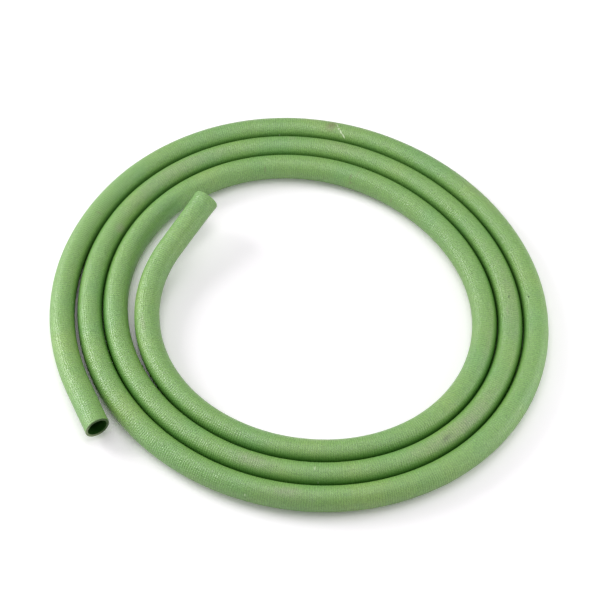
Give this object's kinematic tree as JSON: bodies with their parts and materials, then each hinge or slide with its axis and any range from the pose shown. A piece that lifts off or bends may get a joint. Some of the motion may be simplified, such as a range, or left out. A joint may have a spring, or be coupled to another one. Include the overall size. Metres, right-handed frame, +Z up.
{
  "type": "soaker hose",
  "caption": "Length of flexible rubber soaker hose with bare cut ends, lying in a flat spiral coil; it carries water and seeps it along its length.",
  "frame": {"origin": "on the floor plane under the middle of the coil's overall box", "axes": "+Z up off the floor, +X along the coil's longer side, -Y towards the side where the outer end's opening faces; seen from above the hose winds clockwise from its outer end inwards"},
  "size_m": [0.3236, 0.3082, 0.0316],
  "materials": {
    "hose_rubber": "satin, fine grain, slightly dusty"
  },
  "bodies": {
    "root": {"hose_coil": "hose_rubber", "hose_outer_end": "hose_rubber", "hose_inner_end": "hose_rubber"}
  },
  "joints": []
}
